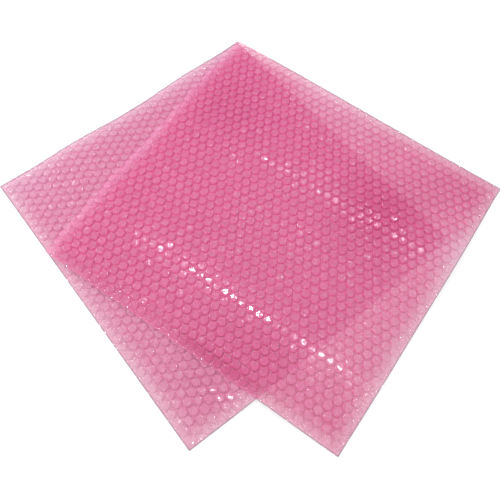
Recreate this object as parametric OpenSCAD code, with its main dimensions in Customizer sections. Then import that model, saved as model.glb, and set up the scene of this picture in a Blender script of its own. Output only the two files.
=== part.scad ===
// Two square sheets of small-bubble wrap, the upper one fanned round a shared corner on the lower one.
// Each sheet is a film that keeps soft waves from its roll, with air bubbles standing on it in a
// hexagonal pattern. The film lies flat on the ground between the waves.

/* [Sheet] */
// Side of a sheet along the web it was cut from
sheet_w = 384; // [120:1:600]
// Side of a sheet across the web
sheet_l = 400; // [120:1:600]
// Thickness of the backing film and the bubble film where they are sealed together
film_t = 0.2; // [0.1:0.05:0.6]
// Flat sealed strip that is kept clear of bubbles along every cut edge
edge_seal = 1; // [0.5:0.5:5]

/* [Bubbles] */
// Diameter of a bubble where it meets the film
bubble_d = 9.8; // [8:0.1:16]
// Width of the seal between neighbouring bubbles
seal_w = 1.7; // [1.5:0.1:4]
// Height of a bubble above the sealed film
bubble_h = 4; // [3:0.25:6]
// Height of the steep wall at the foot of a bubble
wall_h = 2.3; // [1.5:0.1:2.5]
// Inward lean of that wall, from its foot to its top
wall_lean = 0.2; // [0.1:0.05:0.4]
// Width of the sloping shoulder round the flat cap
shoulder_w = 1.5; // [0.5:0.1:2.5]

/* [Waves] */
// Height of a wave's crest above the ground
wave_h = 3; // [0.5:0.5:8]
// Distance from crest to crest
wave_length = 169; // [80:1:400]
// Share of a wave's height that is pressed flat on the ground
wave_flat = 0.2; // [0.05:0.05:0.5]
// Distance from the shared corner's edge to the first hollow of the lower sheet
lower_hollow = 20; // [0:1:100]
// Distance from the shared corner's edge to the first hollow of the upper sheet
upper_hollow = 50; // [0:1:100]

/* [Stack] */
// Turn of the lower sheet from square to the front
lower_turn = 38.7; // [0:0.1:60]
// Turn of the upper sheet on the lower one
fan_turn = 16.1; // [0:0.1:30]
// Step of the upper sheet's shared corner to the right of the lower one's
corner_step_x = -3.5; // [-20:0.5:20]
// Step of the upper sheet's shared corner to the rear of the lower one's
corner_step_y = -12.7; // [-20:0.1:20]

/* [Look] */
// Colour of the lower sheet's film
lower_colour = "palevioletred"; // [palevioletred, hotpink, pink, lightblue, gainsboro]
// Colour of the upper sheet's film
upper_colour = "hotpink"; // [palevioletred, hotpink, pink, lightblue, gainsboro]

/* [Hidden] */

// Bubbles stand in columns along the sheet_l side, and every other column is shifted by half a pitch
pitch = bubble_d + seal_w;
column_step = pitch * sin(60);
columns = floor((sheet_w - 2 * edge_seal - bubble_d) / column_step) + 1;
per_column = floor((sheet_l - 2 * edge_seal - bubble_d - pitch / 2) / pitch) + 1;

// The film bends between the columns: these are the bends, counted from the shared corner's edge
bends = [
    0,
    for (c = [1 : columns - 1]) sheet_w / 2 + (c - columns / 2) * column_step,
    sheet_w
];

// Height of a flat stretch of sheet, and how deep a bubble's foot is sunk into its film
sheet_h = film_t + bubble_h;
foot = film_t / 2;

// Both sheets hang left and forward from their shared corner, and the frame is centred on the pair
turns = [lower_turn, lower_turn + fan_turn];
hollows = [lower_hollow, upper_hollow];
corners_at = [[0, 0], [corner_step_x, corner_step_y]];
outline = [[0, 0], [-sheet_w, 0], [-sheet_w, -sheet_l], [0, -sheet_l]];

function turned(p, a) = [p.x * cos(a) - p.y * sin(a), p.x * sin(a) + p.y * cos(a)];

all_corners = [for (s = [0, 1]) for (p = outline) corners_at[s] + turned(p, turns[s])];
xs = [for (p = all_corners) p.x];
ys = [for (p = all_corners) p.y];
middle = [(min(xs) + max(xs)) / 2, (min(ys) + max(ys)) / 2];

// Height of the film's underside at a distance u from the shared corner's edge, 0 where it is pressed flat
function swell(u, hollow) = (1 - cos(360 * (u - hollow) / wave_length)) / 2;
function lift(u, hollow) = wave_h * max(0, swell(u, hollow) - wave_flat) / (1 - wave_flat);

// Half of a bubble's section, spun about the bubble's own axis
module bubble() {
    wall_top_r = bubble_d / 2 - wall_lean;
    rotate_extrude($fn = 24)
        polygon([
            [0, 0],
            [bubble_d / 2, 0],
            [wall_top_r, foot + wall_h],
            [wall_top_r - shoulder_w, foot + bubble_h],
            [0, foot + bubble_h]
        ]);
}

// The wavy film, extruded along the columns from its section
module film(hollow) {
    last = len(bends) - 1;
    under = [for (u = bends) [-u, lift(u, hollow)]];
    over = [for (k = [last : -1 : 0]) under[k] + [0, film_t]];
    rotate([90, 0, 0]) linear_extrude(height = sheet_l) polygon(concat(under, over));
}

// One column of bubbles, standing square on its own stretch of film between two bends
module column(c, hollow) {
    low = bends[c];
    high = bends[c + 1];
    slope = (lift(high, hollow) - lift(low, hollow)) / (high - low);
    u = sheet_w / 2 + (c - (columns - 1) / 2) * column_step;
    z = lift(low, hollow) + slope * (u - low) + film_t - foot;
    shift = c % 2 == 0 ? pitch / 4 : -pitch / 4;
    for (b = [0 : per_column - 1])
        translate([-u, -sheet_l / 2 + (b - (per_column - 1) / 2) * pitch + shift, z])
            rotate([0, atan(slope), 0])
                bubble();
}

// One sheet, with its back right corner at the origin and its hollows at z = 0
module bubble_sheet(hollow) {
    film(hollow);
    for (c = [0 : columns - 1]) column(c, hollow);
}

// Sheet s is 0 for the lower one, and 1 for the upper one, whose hollows lie on the lower one's crests
module placed_sheet(s) {
    at = corners_at[s] - middle;
    translate([at.x, at.y, s * (wave_h + sheet_h)])
        rotate([0, 0, turns[s]])
            bubble_sheet(hollows[s]);
}

module lower_sheet() {
    color(lower_colour) placed_sheet(0);
}

module upper_sheet() {
    color(upper_colour) placed_sheet(1);
}

lower_sheet();
upper_sheet();
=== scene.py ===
import math
import random

import bpy
import numpy
from mathutils import Matrix, Vector, noise


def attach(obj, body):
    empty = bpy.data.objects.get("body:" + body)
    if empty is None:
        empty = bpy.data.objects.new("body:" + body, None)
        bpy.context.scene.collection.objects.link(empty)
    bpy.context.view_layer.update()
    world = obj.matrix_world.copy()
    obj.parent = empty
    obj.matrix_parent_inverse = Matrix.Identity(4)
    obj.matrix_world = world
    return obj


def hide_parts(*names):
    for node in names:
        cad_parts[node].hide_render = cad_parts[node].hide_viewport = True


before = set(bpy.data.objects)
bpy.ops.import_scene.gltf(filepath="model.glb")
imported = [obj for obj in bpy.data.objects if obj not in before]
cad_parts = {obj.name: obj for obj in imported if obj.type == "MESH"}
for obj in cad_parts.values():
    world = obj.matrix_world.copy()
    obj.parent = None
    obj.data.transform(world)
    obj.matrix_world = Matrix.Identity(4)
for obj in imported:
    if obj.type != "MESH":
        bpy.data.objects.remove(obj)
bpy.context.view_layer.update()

# Two sheets of pink small-bubble wrap. A sheet is modelled flat, with its shared corner at the
# origin and the sheet reaching to -X and -Y, then waved, turned and laid down. Metres.
sheetSize = {
    "width": 0.384,          # along the web
    "length": 0.400,         # across the web
    "film": 0.0002,          # backing and bubble film sealed together
    "edgeSeal": 0.001,
    "backingCells": 64,      # along each side of the backing film's grid
    "weld": 0.00005,         # points this close are one
    "smoothAngle": 55,       # degrees
}
bubbleSize = {
    "foot": 0.00545,         # radius
    "pitch": 0.0115,
    "sides": 12,
    "height": 0.0036,
    # each ring from the foot to the cap: its rise as a share of height, its radius as a share of foot
    "rings": [(0.80, 0.91), (0.965, 0.78), (0.998, 0.66), (1.0, 0.57)],
}
waveSize = {"height": 0.003, "length": 0.169, "flat": 0.2}
stack = {
    "lowerTurn": 38.7,       # degrees
    "fanTurn": 16.1,
    "cornerStep": (-0.0035, -0.0127),
    "lowerHollow": 0.020,
    "upperHollow": 0.050,
    "droop": 0.100,          # how far past the lower sheet's edge the upper one reaches the ground
    "rise": 0.0042,          # film and bubble of a flat stretch in the part
    "bareFrom": 0.002,       # a sheet starts to look bare this far past the other one's edge
    "bareOver": 0.003,       # and is bare this much further out
}

columnStep = bubbleSize["pitch"] * math.sin(math.radians(60))
columns = int((sheetSize["width"] - 2 * (sheetSize["edgeSeal"] + bubbleSize["foot"])) / columnStep) + 1
perColumn = int(
    (sheetSize["length"] - 2 * (sheetSize["edgeSeal"] + bubbleSize["foot"]) - bubbleSize["pitch"] / 2)
    / bubbleSize["pitch"]
) + 1


def turned(x, y, degrees):
    a = math.radians(degrees)
    return x * math.cos(a) - y * math.sin(a), x * math.sin(a) + y * math.cos(a)


# Where each sheet's shared corner lies, and how far the sheet is turned
lowerPlace = ((0, 0), stack["lowerTurn"])
upperPlace = (stack["cornerStep"], stack["lowerTurn"] + stack["fanTurn"])

# The frame's origin is the middle of the pair's box, as in the part
sheetCorners = []
for step, turn in (lowerPlace, upperPlace):
    for x in (0, -sheetSize["width"]):
        for y in (0, -sheetSize["length"]):
            tx, ty = turned(x, y, turn)
            sheetCorners.append((step[0] + tx, step[1] + ty))
middle = [(min(c[k] for c in sheetCorners) + max(c[k] for c in sheetCorners)) / 2 for k in (0, 1)]


# Shader maths: a socket that adds, multiplies and compares by adding Math nodes
class Link:
    def __init__(self, tree, socket):
        self.tree = tree
        self.socket = socket

    def math(self, operation, *others, first=None):
        values = ([] if first is None else [first]) + [self] + list(others)
        return addNode(self.tree, "ShaderNodeMath", {"operation": operation}, values)

    def __add__(self, other):
        return self.math("ADD", other)

    def __radd__(self, other):
        return self.math("ADD", other)

    def __sub__(self, other):
        return self.math("SUBTRACT", other)

    def __rsub__(self, other):
        return self.math("SUBTRACT", first=other)

    def __mul__(self, other):
        return self.math("MULTIPLY", other)

    def __rmul__(self, other):
        return self.math("MULTIPLY", other)

    def ramp(self, low, high, start=0.0, end=1.0):
        settings = {"interpolation_type": "SMOOTHSTEP", "clamp": True}
        values = {"Value": self, "From Min": low, "From Max": high, "To Min": start, "To Max": end}
        return addNode(self.tree, "ShaderNodeMapRange", settings, values)


def addNode(tree, kind, settings=None, inputs=(), output=0):
    node = tree.nodes.new(kind)
    for name, value in (settings or {}).items():
        setattr(node, name, value)
    pairs = inputs.items() if isinstance(inputs, dict) else enumerate(inputs)
    for key, value in pairs:
        if isinstance(value, Link):
            tree.links.new(value.socket, node.inputs[key])
        else:
            node.inputs[key].default_value = value
    return Link(tree, node.outputs[output]) if node.outputs else None


def mixColours(tree, factor, first, second):
    settings = {"data_type": "RGBA", "blend_type": "MIX"}
    return addNode(tree, "ShaderNodeMix", settings, {0: factor, 6: first, 7: second}, output=2)


def grey(value):
    return value, value, value, 1


def addNoise(tree, place, scale, detail):
    return addNode(tree, "ShaderNodeTexNoise", {}, {"Vector": place, "Scale": scale, "Detail": detail})


def newMaterial(name):
    material = bpy.data.materials.new(name)
    material.use_nodes = True
    material.node_tree.nodes.clear()
    return material, material.node_tree


# Camera, as the photograph was taken: from the front, looking steeply down
print("camera and studio")
view = {
    "target": (0.00122, -0.04787, 0.0),
    "distance": 0.668,
    "elevation": 66.8,
    "focalLength": 40.4,     # millimetres, as is the sensor
    "sensorWidth": 36,
}


def addCamera():
    data = bpy.data.cameras.new("camera")
    data.lens = view["focalLength"]
    data.sensor_width = view["sensorWidth"]
    camera = bpy.data.objects.new("camera", data)
    bpy.context.collection.objects.link(camera)
    e = math.radians(view["elevation"])
    back = Vector((0, -math.cos(e), math.sin(e)))
    camera.location = Vector(view["target"]) + back * view["distance"]
    camera.rotation_euler = (-back).to_track_quat("-Z", "Y").to_euler()
    bpy.context.scene.camera = camera


studio = {
    "world": 0.54,
    # area lights, each from one end to the other: name, power, width and both ends
    "strips": [
        ("crestStrip", 4.2, 0.022, (-0.38, 0.462, 1.21), (0.20, 0.083, 1.21)),
        ("lowStrip", 1.4, 0.022, (0.22, 0.05, 1.21), (0.47, -0.18, 1.21)),
        ("farStrip", 2.0, 0.04, (0.024, 0.841, 1.21), (0.607, 0.423, 1.21)),
        ("edgeStrip", 0.4, 0.014, (-0.25, -0.12, 1.21), (-0.18, -0.21, 1.21)),
        ("leftPanel", 5.5, 0.30, (-1.00, -0.05, 0.80), (-0.85, 0.55, 0.80)),
        ("frontStrip", 2.4, 0.05, (-0.35, -1.15, 0.50), (0.35, -1.10, 0.50)),
    ],
    "floorSize": 6.0,
    "floorDrop": 0.0004,
    "floorShade": 0.45,
    "floorLift": 0.57,       # what the camera sees is lifted to white by this
}


# A lamp shines along its own -Z, which is turned towards the sheets
def addStrip(name, power, width, start, end):
    start, end = Vector(start), Vector(end)
    data = bpy.data.lights.new(name, "AREA")
    data.shape = "RECTANGLE"
    data.size = (end - start).length
    data.size_y = width
    data.energy = power
    lamp = bpy.data.objects.new(name, data)
    bpy.context.collection.objects.link(lamp)
    along = (end - start).normalized()
    away = (start + end).normalized()
    away = (away - along * away.dot(along)).normalized()
    turn = Matrix((along, away.cross(along), away)).transposed()
    lamp.matrix_world = Matrix.Translation((start + end) / 2) @ turn.to_4x4()


def addWorld():
    world = bpy.data.worlds.new("studioWorld")
    bpy.context.scene.world = world
    world.use_nodes = True
    tree = world.node_tree
    tree.nodes.clear()
    isCamera = addNode(tree, "ShaderNodeLightPath")
    light = mixColours(tree, isCamera, grey(studio["world"]), grey(1))
    sky = addNode(tree, "ShaderNodeBackground", {}, {"Color": light, "Strength": 1.0})
    addNode(tree, "ShaderNodeOutputWorld", {}, {"Surface": sky})


def addFloor():
    bpy.ops.object.select_all(action="DESELECT")
    bpy.ops.mesh.primitive_plane_add(size=studio["floorSize"], location=(0, 0, -studio["floorDrop"]))
    floor = bpy.context.active_object
    floor.name = "floor"
    material, tree = newMaterial("paleFloor")
    isCamera = addNode(tree, "ShaderNodeLightPath")
    surface = addNode(tree, "ShaderNodeBsdfPrincipled", {}, {
        "Base Color": grey(studio["floorShade"]),
        "Roughness": 0.9,
        "Emission Color": mixColours(tree, isCamera, grey(0), grey(studio["floorLift"])),
        "Emission Strength": 1.0,
    })
    addNode(tree, "ShaderNodeOutputMaterial", {}, {"Surface": surface})
    floor.data.materials.append(material)


addCamera()
for strip in studio["strips"]:
    addStrip(*strip)
addWorld()
addFloor()


# Film: clear pink, deepest in the seals and brightest in the bubbles' steep walls, whose colour is
# partly painted light against the shade on them
filmLook = {
    "sealColour": (0.72, 0.115, 0.31, 1),
    "capColour": (0.755, 0.165, 0.36, 1),
    # the walls are paler than the caps partly as painted light, against their shade
    "wallAndPaintedLightColour": (0.98, 0.17, 0.46, 1),
    "sideShadeColour": (0.65, 0.08, 0.28, 1),    # painted shade on the seals and walls that face one way across the rows
    "paintedHighlightColour": (1.0, 0.42, 0.62, 1),     # pale mottles are painted highlights; dark ones are thick spots in the film
    "darkColour": (0.48, 0.06, 0.22, 1),
    "backColour": (0.75, 0.12, 0.31, 1),
    "paintedLightColour": (1.0, 0.25, 0.55, 1),      # painted light on this sheet where the other lies over it, against its shadow
    "paintedWallGlowColour": (0.08, 0.010, 0.045, 1),  # painted glow on the steep walls, against their shade
    "paintedSheenColour": (0.82, 0.48, 0.68, 1),    # painted sheen in the whitish patches
    # painted shade in the deeper patches
    "deepColour": (0.66, 0.08, 0.25, 1),
    "edgeColour": (0.36, 0.20, 0.29, 1),
    "sealCover": 0.56,
    "wallCover": 0.57,
    "capCover": 0.54,
    "backCover": 0.58,
    "edgeCover": 0.72,
    "bubbleRange": 0.12,     # how much the caps' cover differs from bubble to bubble
    "sideShadeCover": 0.08,       # what the painted side shade, a patch of painted shade and a mottle add to the cover
    "deepCover": 0.2,
    "darkCover": 0.2,
    "paintedHighlightCover": -0.2,
    "wallRise": (0.01, 0.15),    # rises over which the seal turns to wall, and the wall to cap
    "capRise": (0.80, 0.97),
    "edgeWidth": 0.0012,
    "edgeCore": 0.6,         # of that width, fully dark
    "fadeWidth": 0.024,      # the film looks paler this close to a cut edge
    "fade": 0.36,
    "lapWidth": 0.020,       # and clearer this close to an edge that lies on another sheet
    "sideShadeFrom": 0.5,         # how squarely across the rows the painted side shade starts to show
    "sideShade": 0.62,
    "bareSideShade": 0.6,         # of that where no other sheet lies over or under this one
    "cloudScale": 16,
    "clouds": (0.30, 0.70),
    "leastSheen": 0.55,       # of a patch's painted sheen between the clouds
    "mottleScale": 420,
    "paintedHighlightMottle": (0.52, 0.66),
    "darkMottle": (0.34, 0.48),
    "paintedHighlight": 0.46,            # how far mottles turn paler, as painted highlights, and deeper
    "dark": 0.42,
    "sealRoughness": 0.5,
    "capRoughness": 0.03,
    "shine": 1.0,
    "creaseScale": 300,
    "creaseDepth": 0.0004,
    "creaseShare": 0.25,     # of that depth in a bubble that isn't crumpled
}


# What the film is at each point, as masks from 0 to 1. The attribute rise is -1 on the backing film,
# 0 on the seals and 1 on the caps. It is between -1 and 0 only on the strip that joins both films at a
# cut edge, which stays clear.
def filmMasks(tree, place, lap):
    labels = ("rise", "bubbleShade", "crumple", "sideShade", "sheenAndShade", "alongWeb", "acrossWeb", "bare")
    marks = {
        label: addNode(tree, "ShaderNodeAttribute", {"attribute_name": label}, output=2)
        for label in labels
    }
    rise, bare = marks["rise"], marks["bare"]
    u, v = marks["alongWeb"], marks["acrossWeb"]
    cap = rise.ramp(*filmLook["capRise"])
    edge = u.math("MINIMUM", sheetSize["width"] - u)
    edge = edge.math("MINIMUM", v.math("MINIMUM", sheetSize["length"] - v))
    edgeWidth = filmLook["edgeWidth"]
    isEdge = edge.ramp(edgeWidth * filmLook["edgeCore"], edgeWidth, 1, 0) * bare
    inside = edge.ramp(0, filmLook["fadeWidth"], 1 - filmLook["fade"], 1)
    inside = inside * (1 - (1 - bare) * lap * v.ramp(0, filmLook["lapWidth"], 1, 0))
    # painted side shade on the seals and walls that face across one set of rows
    sideShade = marks["sideShade"].ramp(filmLook["sideShadeFrom"], 1, 0, filmLook["sideShade"]) * (1 - cap)
    cloud = addNoise(tree, place, filmLook["cloudScale"], 3)
    mottle = addNoise(tree, place, filmLook["mottleScale"], 2)
    return {
        "wall": rise.ramp(*filmLook["wallRise"]),
        "cap": cap,
        "back": rise.ramp(-0.5, -0.4, 1, 0),
        "open": rise.ramp(-0.98, -0.9) * rise.ramp(-0.1, -0.02, 1, 0),
        "overlap": 1 - bare,
        "edge": isEdge,
        "inside": inside,
        "sideShade": sideShade * bare.ramp(0, 1, 1, filmLook["bareSideShade"]),
        # pale mottles are painted highlights
        "paintedHighlight": mottle.ramp(*filmLook["paintedHighlightMottle"], 0, filmLook["paintedHighlight"]),
        "dark": mottle.ramp(*filmLook["darkMottle"], filmLook["dark"], 0),
        # painted sheen in the whitish patches
        "sheenAndShade": marks["sheenAndShade"].ramp(0, 1) * cloud.ramp(*filmLook["clouds"], filmLook["leastSheen"], 1),
        # painted shade in the deeper patches
        "deep": marks["sheenAndShade"].ramp(-1, 0, 1, 0),
        "ownShade": marks["bubbleShade"] - 0.5,
        "creased": marks["crumple"].ramp(1, bubbleVariety["crumple"][1], filmLook["creaseShare"], 1),
    }


def filmColour(tree, masks, tone, lit):
    layers = {
        "wallAndPaintedLightColour": masks["wall"],
        "capColour": masks["cap"],
        "darkColour": masks["dark"],
        "paintedHighlightColour": masks["paintedHighlight"],
        "backColour": masks["back"],
        # painted light where the other sheet shades this one
        "paintedLightColour": masks["overlap"] * lit,
        "sideShadeColour": masks["sideShade"],
        "paintedSheenColour": masks["sheenAndShade"],
        "deepColour": masks["deep"],
        "edgeColour": masks["edge"],
    }
    colour = tone["sealColour"]
    for part, mask in layers.items():
        colour = mixColours(tree, mask, colour, tone[part])
    return colour


def filmCover(masks, weight):
    cover = masks["wall"].ramp(0, 1, filmLook["sealCover"], filmLook["wallCover"])
    capStep = filmLook["capCover"] - filmLook["wallCover"] + masks["ownShade"] * filmLook["bubbleRange"]
    cover = cover + masks["cap"] * capStep
    cover = (cover + masks["back"] * (filmLook["backCover"] - cover)) * weight
    for part in ("sideShade", "deep", "dark", "paintedHighlight"):
        cover = cover + masks[part] * filmLook[part + "Cover"]
    cover = cover * masks["inside"] * (1 - masks["open"])
    return cover + masks["edge"] * (filmLook["edgeCover"] - cover)


# weight scales the film's cover and red the red of its colours. Where the sheets overlap, lit is how
# far its colour brightens, as painted light against the other sheet's shadow, and lap how much
# clearer it is along its cut edge at v = 0.
def filmMaterial(name, weight, red, lit, lap):
    material, tree = newMaterial(name)
    tone = {part: (value[0] * red, *value[1:]) for part, value in filmLook.items() if "Colour" in part}
    place = addNode(tree, "ShaderNodeTexCoord", output=3)
    masks = filmMasks(tree, place, lap)
    steep = masks["wall"] * (1 - masks["cap"])
    bump = addNode(tree, "ShaderNodeBump", {}, {
        "Strength": 1.0,
        "Distance": filmLook["creaseDepth"],
        "Height": addNoise(tree, place, filmLook["creaseScale"], 0) * masks["creased"],
    })
    surface = addNode(tree, "ShaderNodeBsdfPrincipled", {}, {
        "Base Color": filmColour(tree, masks, tone, lit),
        # painted glow: the steep walls emit light to lift their shade
        "Emission Color": mixColours(tree, steep, grey(0), tone["paintedWallGlowColour"]),
        "Emission Strength": 1.0,
        "Roughness": masks["cap"].ramp(0, 1, filmLook["sealRoughness"], filmLook["capRoughness"]),
        "IOR": 1.5,
        "Specular IOR Level": filmLook["shine"],
        "Alpha": filmCover(masks, weight),
        "Normal": bump,
    })
    addNode(tree, "ShaderNodeOutputMaterial", {}, {"Surface": surface})
    return material


# A hexagonal cell of film, made from a circle that is the bubble's foot
def modelHexagon(centre):
    foot = bubbleSize["foot"]
    corner = bubbleSize["pitch"] / math.sqrt(3)
    bpy.ops.object.select_all(action="DESELECT")
    bpy.ops.mesh.primitive_circle_add(
        vertices=bubbleSize["sides"], radius=foot, fill_type="NGON", location=centre
    )
    cell = bpy.context.active_object
    bpy.ops.object.transform_apply(location=True)
    bpy.ops.object.mode_set(mode="EDIT")
    bpy.ops.mesh.select_all(action="SELECT")
    bpy.ops.mesh.region_to_loop()
    bpy.ops.mesh.extrude_edges_move()
    out = corner / foot
    bpy.ops.transform.resize(value=(out, out, 1), center_override=centre)
    bpy.ops.object.mode_set(mode="OBJECT")
    for vertex in cell.data.vertices:      # the middles of the hexagon's sides come in to its flats
        away = vertex.co - centre
        onSide = round(math.degrees(math.atan2(away.y, away.x)) / 30) % 2 == 1
        vertex.select = away.length > foot * 1.01 and onSide
    for edge in cell.data.edges:
        edge.select = False
    for face in cell.data.polygons:
        face.select = False
    bpy.ops.object.mode_set(mode="EDIT")
    bpy.ops.mesh.select_mode(type="VERT")
    flat = math.cos(math.radians(30))
    bpy.ops.transform.resize(value=(flat, flat, 1), center_override=centre)
    bpy.ops.mesh.select_all(action="DESELECT")
    bpy.ops.mesh.select_mode(type="FACE")
    bpy.ops.object.mode_set(mode="OBJECT")
    return cell


# Draws the foot up into a bubble, ring by ring, and closes the cap
def raiseBubble(cell, centre):
    for face in cell.data.polygons:
        face.select = len(face.vertices) == bubbleSize["sides"]
    bpy.ops.object.mode_set(mode="EDIT")
    lowRise, lowWidth = 0, 1
    for ringRise, ringWidth in bubbleSize["rings"]:
        lift = (ringRise - lowRise) * bubbleSize["height"]
        bpy.ops.mesh.extrude_region_move(TRANSFORM_OT_translate={"value": (0, 0, lift)})
        inward = ringWidth / lowWidth
        bpy.ops.transform.resize(value=(inward, inward, 1), center_override=centre)
        lowRise, lowWidth = ringRise, ringWidth
    bpy.ops.mesh.poke()
    bpy.ops.mesh.select_all(action="SELECT")
    bpy.ops.mesh.normals_make_consistent(inside=False)
    bpy.ops.object.mode_set(mode="OBJECT")


def repeat(piece, count, step):
    array = piece.modifiers.new("repeat", "ARRAY")
    array.count = count
    array.use_relative_offset = False
    array.use_constant_offset = True
    array.constant_offset_displace = step
    bpy.context.view_layer.objects.active = piece
    bpy.ops.object.modifier_apply(modifier=array.name)


def cellPlace(column, number):
    x = -sheetSize["width"] / 2 - (column - (columns - 1) / 2) * columnStep
    shift = bubbleSize["pitch"] / (4 if column % 2 == 0 else -4)
    y = -sheetSize["length"] / 2 + (number - (perColumn - 1) / 2) * bubbleSize["pitch"] + shift
    return x, y


def nearestColumn(points):
    return numpy.rint((-sheetSize["width"] / 2 - points[:, 0]) / columnStep + (columns - 1) / 2)


def readPoints(mesh):
    flatList = numpy.empty(len(mesh.vertices) * 3)
    mesh.vertices.foreach_get("co", flatList)
    return flatList.reshape(-1, 3)


def writePoints(mesh, points):
    mesh.vertices.foreach_set("co", points.reshape(-1))
    mesh.update()


# The bubble film of one sheet: every cell and one more all round, to be trimmed along the four cut
# edges
def modelBubbleFilm(name):
    centre = Vector((*cellPlace(-1, -1), 0))
    cell = modelHexagon(centre)
    raiseBubble(cell, centre)
    repeat(cell, perColumn + 2, (0, bubbleSize["pitch"], 0))
    bpy.ops.object.select_all(action="DESELECT")
    cell.select_set(True)
    bpy.ops.object.duplicate_move(
        TRANSFORM_OT_translate={"value": (-columnStep, bubbleSize["pitch"] / 2, 0)}
    )
    second = bpy.context.active_object
    cell.select_set(True)
    second.select_set(True)
    bpy.context.view_layer.objects.active = cell
    bpy.ops.object.join()
    repeat(cell, (columns + 3) // 2, (-2 * columnStep, 0, 0))
    cell.name = name
    bpy.ops.object.mode_set(mode="EDIT")
    bpy.ops.mesh.select_all(action="SELECT")
    bpy.ops.mesh.remove_doubles(threshold=sheetSize["weld"])
    bpy.ops.object.mode_set(mode="OBJECT")
    return cell


# Every bubble differs a little: how full it is, which way its cap leans, and the creases in it.
# Those that an edge cuts through have lost their air.
bubbleVariety = {
    "fullness": (0.90, 1.0),
    "slackShare": 0.08,
    "slack": (0.60, 0.82),   # fullness of a slack bubble, and of one that is cut through
    "cut": (0.04, 0.20),
    "ceiling": 1.04,         # highest point, as a share of a bubble's height
    "lean": 0.014,           # most slope of a cap
    "crease": 0.00003,
    "creaseScale": 420,
    "crumpledShare": 0.21,
    "crumple": (2.0, 6.0),   # how much deeper a crumpled bubble's creases and lean are
    "shadeFacing": -60,            # degrees from the web, square to one set of rows; walls and seals that face this way get painted shade
}


def crumpleChance(x, y, crumples):
    return bubbleVariety["crumpledShare"] + sum(
        strength * math.exp(-((-x - u) ** 2 + (-y - v) ** 2) / size ** 2)
        for u, v, size, strength in crumples
    )


def varyBubbles(film, seed, crumples):
    rolls = random.Random(seed)
    points = readPoints(film.data)
    height = bubbleSize["height"]
    rise = points[:, 2] / height
    lifted = rise.copy()         # how far each point goes along with its cap
    shade = numpy.full(len(points), 0.5)
    creased = numpy.ones(len(points))
    column = nearestColumn(points)
    foot, pitch = bubbleSize["foot"], bubbleSize["pitch"]
    for c in range(-1, columns + 2):
        near = numpy.nonzero((column == c) & (points[:, 2] > 1e-6))[0]
        for b in range(-2, perColumn + 2):
            x, y = cellPlace(c, b)
            mine = near[numpy.abs(points[near, 1] - y) < pitch / 2]
            mine = mine[numpy.hypot(points[mine, 0] - x, points[mine, 1] - y) < foot]
            if not len(mine):
                continue
            full = rolls.uniform(*bubbleVariety["fullness"])
            if rolls.random() < bubbleVariety["slackShare"]:
                full = rolls.uniform(*bubbleVariety["slack"])
            margin = min(-x, x + sheetSize["width"], -y, y + sheetSize["length"])
            if margin < foot:
                full = rolls.uniform(*bubbleVariety["cut"])
                rise[mine] = 1
            crumpled = 1
            if rolls.random() < crumpleChance(x, y, crumples) or margin < foot:
                crumpled = rolls.uniform(*bubbleVariety["crumple"])
            angle = rolls.uniform(0, 2 * math.pi)
            lean = rolls.uniform(0, bubbleVariety["lean"]) * crumpled
            shade[mine] = rolls.random()
            creased[mine] = crumpled
            dx, dy = points[mine, 0] - x, points[mine, 1] - y
            tip = (dx * math.cos(angle) + dy * math.sin(angle)) * lean
            scaled = points[mine, :2] * bubbleVariety["creaseScale"]
            creases = [noise.noise(Vector((px, py, seed))) for px, py in scaled]
            shift = tip + numpy.array(creases) * bubbleVariety["crease"] * crumpled
            points[mine, 2] = (points[mine, 2] + shift * lifted[mine]) * full
    points[:, 2] = numpy.clip(points[:, 2], 0, height * bubbleVariety["ceiling"])
    writePoints(film.data, points)
    mark(film, "rise", rise)
    mark(film, "bubbleShade", shade)
    mark(film, "crumple", creased)
    mark(film, "sideShade", sideShadeFacing(points))


# How squarely each point looks from its bubble's centre across those rows, the way that gets painted
# side shade.
# The nearest bubble is in the point's own column or in one beside it.
def sideShadeFacing(points):
    a = math.radians(bubbleVariety["shadeFacing"])
    best = numpy.full(len(points), 1.0)
    sideShade = numpy.zeros(len(points))
    nearest = nearestColumn(points)
    for column in (nearest - 1, nearest, nearest + 1):
        first = -sheetSize["width"] / 2 - (column - (columns - 1) / 2) * columnStep
        shift = numpy.where(column % 2 == 0, 0.25, -0.25) - (perColumn - 1) / 2
        number = numpy.rint((points[:, 1] + sheetSize["length"] / 2) / bubbleSize["pitch"] - shift)
        second = -sheetSize["length"] / 2 + (number + shift) * bubbleSize["pitch"]
        dx, dy = points[:, 0] - first, points[:, 1] - second
        away = numpy.hypot(dx, dy)
        closer = away < best
        best = numpy.where(closer, away, best)
        squarely = numpy.abs(dx * math.cos(a) + dy * math.sin(a)) / numpy.maximum(away, 0.0005)
        sideShade = numpy.where(closer, squarely, sideShade)
    return sideShade


# Keeps a value at every point of a mesh, for the material to read
def mark(film, label, values):
    attribute = film.data.attributes.new(label, "FLOAT", "POINT")
    attribute.data.foreach_set("value", numpy.asarray(values, dtype=numpy.float32))


def trimToSheet(film):
    bpy.context.view_layer.objects.active = film
    bpy.ops.object.mode_set(mode="EDIT")
    cuts = [
        ((0, 0, 0), (1, 0, 0)),
        ((-sheetSize["width"], 0, 0), (-1, 0, 0)),
        ((0, 0, 0), (0, 1, 0)),
        ((0, -sheetSize["length"], 0), (0, -1, 0)),
    ]
    for point, outward in cuts:
        bpy.ops.mesh.select_all(action="SELECT")
        bpy.ops.mesh.bisect(plane_co=point, plane_no=outward, clear_outer=True)
    bpy.ops.object.mode_set(mode="OBJECT")


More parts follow.
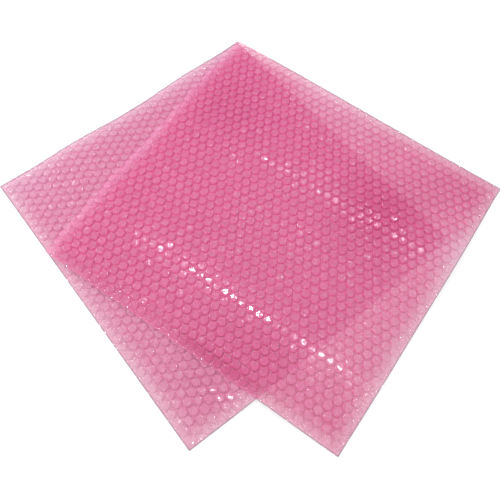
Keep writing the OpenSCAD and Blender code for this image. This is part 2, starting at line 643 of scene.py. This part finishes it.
# The backing film, a flat grid under the bubble film, sewn to it along the cut edges
def addBacking(film):
    bpy.ops.object.select_all(action="DESELECT")
    bpy.ops.mesh.primitive_grid_add(
        x_subdivisions=sheetSize["backingCells"], y_subdivisions=sheetSize["backingCells"], size=1,
        location=(-sheetSize["width"] / 2, -sheetSize["length"] / 2, 0),
    )
    backing = bpy.context.active_object
    backing.scale = (sheetSize["width"], sheetSize["length"], 1)
    bpy.ops.object.transform_apply(location=True, scale=True)
    bpy.ops.object.mode_set(mode="EDIT")
    bpy.ops.mesh.select_all(action="SELECT")
    bpy.ops.mesh.flip_normals()
    bpy.ops.object.mode_set(mode="OBJECT")
    mark(backing, "rise", numpy.full(len(backing.data.vertices), -1))
    mark(backing, "bubbleShade", numpy.full(len(backing.data.vertices), 0.5))
    points = readPoints(film.data)
    points[:, 2] += sheetSize["film"]
    writePoints(film.data, points)
    bpy.ops.object.select_all(action="DESELECT")
    backing.select_set(True)
    film.select_set(True)
    bpy.context.view_layer.objects.active = film
    bpy.ops.object.join()
    bpy.ops.object.mode_set(mode="EDIT")
    bpy.ops.mesh.select_mode(type="EDGE")
    bpy.ops.mesh.select_all(action="DESELECT")
    bpy.ops.mesh.select_non_manifold(
        extend=False, use_wire=False, use_boundary=True,
        use_multi_face=False, use_non_contiguous=False, use_verts=False,
    )
    bpy.ops.mesh.bridge_edge_loops()
    bpy.ops.object.mode_set(mode="OBJECT")


def smoothstep(t):
    t = numpy.clip(t, 0, 1)
    return t * t * (3 - 2 * t)


def waveLift(u, hollow):
    swell = (1 - numpy.cos(2 * math.pi * (u - hollow) / waveSize["length"])) / 2
    share = numpy.maximum(0, swell - waveSize["flat"]) / (1 - waveSize["flat"])
    return waveSize["height"] * share


# How each sheet was cut out of true: wider at the rear and longer as shares, the bulge of its edges
# across the web, at v = 0 and at v = length, and how far its shared corner is drawn in both ways
lowerCut = {"wider": 0.0, "longer": 0.0, "bulges": (-0.004, 0.004), "corner": (0.0075, 0.002)}
upperCut = {"wider": 0.016, "longer": 0.005, "bulges": (0.0, 0.001), "corner": (0.0, 0.0)}


def cutOutOfTrue(points, cut):
    across = -points[:, 1] / sheetSize["length"]
    bow = numpy.sin(numpy.pi * numpy.clip(-points[:, 0] / sheetSize["width"], 0, 1))
    first, last = cut["bulges"]
    inCorner = (1 - across) * (1 + points[:, 0] / sheetSize["width"])
    points[:, 0] *= 1 + cut["wider"] * (1 - across)
    points[:, 1] *= 1 + cut["longer"]
    points[:, 1] += (first * (1 - across) - last * across) * bow
    points[:, :2] -= inCorner[:, None] * numpy.array(cut["corner"])


# Gives the flat sheet its waves, and turns and places it as the part's sheet lies
def layDown(sheet, cut, step, turn, hollow, over=False):
    points = readPoints(sheet.data)
    cutOutOfTrue(points, cut)
    away = -points[:, 0]
    lift = waveLift(away, hollow)
    nudge = 0.001
    slope = (waveLift(away + nudge, hollow) - waveLift(away - nudge, hollow)) / (2 * nudge)
    points[:, 0] += points[:, 2] * slope
    points[:, 2] += lift
    x, y = turned(points[:, 0], points[:, 1], turn)
    x, y = x + step[0] - middle[0], y + step[1] - middle[1]
    if over:
        points[:, 2] += supportUnder(x, y)
    past = pastEdges(x, y, *(lowerPlace if over else upperPlace))
    mark(sheet, "bare", smoothstep((past - stack["bareFrom"]) / stack["bareOver"]))
    points[:, 0], points[:, 1] = x, y
    writePoints(sheet.data, points)


# How far a place lies past the edges of the sheet that has this corner and turn
def pastEdges(x, y, corner, turn):
    x, y = turned(x + middle[0] - corner[0], y + middle[1] - corner[1], -turn)
    outX = numpy.maximum(numpy.maximum(x, -x - sheetSize["width"]), 0)
    outY = numpy.maximum(numpy.maximum(y, -y - sheetSize["length"]), 0)
    return numpy.hypot(outX, outY)


# How high the lower sheet holds the upper one: its crests inside its edges, and the ground past them
def supportUnder(x, y):
    past = pastEdges(x, y, *lowerPlace)
    return (waveSize["height"] + stack["rise"]) * (1 - smoothstep(past / stack["droop"]))


# One flat sheet, with the values that its material reads kept at its points
def modelSheet(name, seed, sheenAndShadePatches, crumples):
    film = modelBubbleFilm(name)
    varyBubbles(film, seed, crumples)
    trimToSheet(film)
    addBacking(film)
    points = readPoints(film.data)
    u, v = -points[:, 0], -points[:, 1]
    mark(film, "alongWeb", u)
    mark(film, "acrossWeb", v)
    sheenAndShade = sum(
        strength * numpy.exp(-((u - hu) / su) ** 2 - ((v - hv) / sv) ** 2)
        for hu, hv, su, sv, strength in sheenAndShadePatches
    )
    mark(film, "sheenAndShade", numpy.clip(sheenAndShade, -1, 1))
    return film


def finishSheet(sheet, material, node):
    bpy.ops.object.select_all(action="DESELECT")
    sheet.select_set(True)
    bpy.context.view_layer.objects.active = sheet
    bpy.ops.object.shade_smooth_by_angle(angle=math.radians(sheetSize["smoothAngle"]))
    sheet.data.materials.clear()
    sheet.data.materials.append(material)
    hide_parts(node)
    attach(sheet, "root")


# Patches of painted sheen, or of painted shade where the strength is below 0, each as place along and
# across the web, size both ways and strength; and places where more bubbles are crumpled, each as
# place, size and strength
lowerMarks = {
    "seed": 3,
    "sheenAndShadePatches": [
        (0.15, 0.0, 0.30, 0.035, 0.40),
        (0.36, 0.04, 0.06, 0.06, 0.25),
        (0.365, 0.19, 0.035, 0.06, 0.25),
        (0.384, 0.31, 0.03, 0.05, 0.25),
        (0.330, 0.350, 0.035, 0.06, -0.4),
    ],
    "crumples": [(0.378, 0.360, 0.035, 0.5), (0.30, 0.10, 0.05, 0.3)],
}
upperMarks = {
    "seed": 8,
    "sheenAndShadePatches": [
        (0.016, 0.13, 0.024, 0.06, 0.30),
        (0.022, 0.22, 0.028, 0.08, 0.30),
        (0.04, 0.365, 0.07, 0.07, -0.4),
        (0.13, 0.290, 0.06, 0.055, -0.75),
        (0.10, 0.060, 0.07, 0.06, -0.5),
        (0.345, 0.270, 0.04, 0.08, -0.5),
        (0.110, 0.388, 0.050, 0.034, 0.65),
        (0.26, 0.400, 0.07, 0.03, 0.25),
        (0.375, 0.24, 0.008, 0.06, -0.9),
        (0.361, 0.39, 0.050, 0.03, -0.25),
        (0.190, 0.0, 0.250, 0.012, 0.55),
    ],
    "crumples": [
        (0.134, 0.31, 0.075, 0.55),
        (0.145, 0.17, 0.090, 0.50),
        (0.315, 0.07, 0.060, 0.55),
    ],
}

print("lower sheet")
lowerSheet = modelSheet("lowerSheet", **lowerMarks)
layDown(lowerSheet, lowerCut, *lowerPlace, stack["lowerHollow"])
lowerFilm = filmMaterial("lowerFilm", weight=1.01, red=0.95, lit=0.85, lap=0.0)
finishSheet(lowerSheet, lowerFilm, "lower_sheet")

print("upper sheet")
upperSheet = modelSheet("upperSheet", **upperMarks)
layDown(upperSheet, upperCut, *upperPlace, stack["upperHollow"], over=True)
upperFilm = filmMaterial("upperFilm", weight=1.06, red=1.0, lit=0, lap=0.5)
finishSheet(upperSheet, upperFilm, "upper_sheet")

scene = bpy.context.scene
scene.view_settings.view_transform = "Standard"
scene.cycles.transparent_max_bounces = 24     # seen at a slant, many films lie one behind another

print("finish")
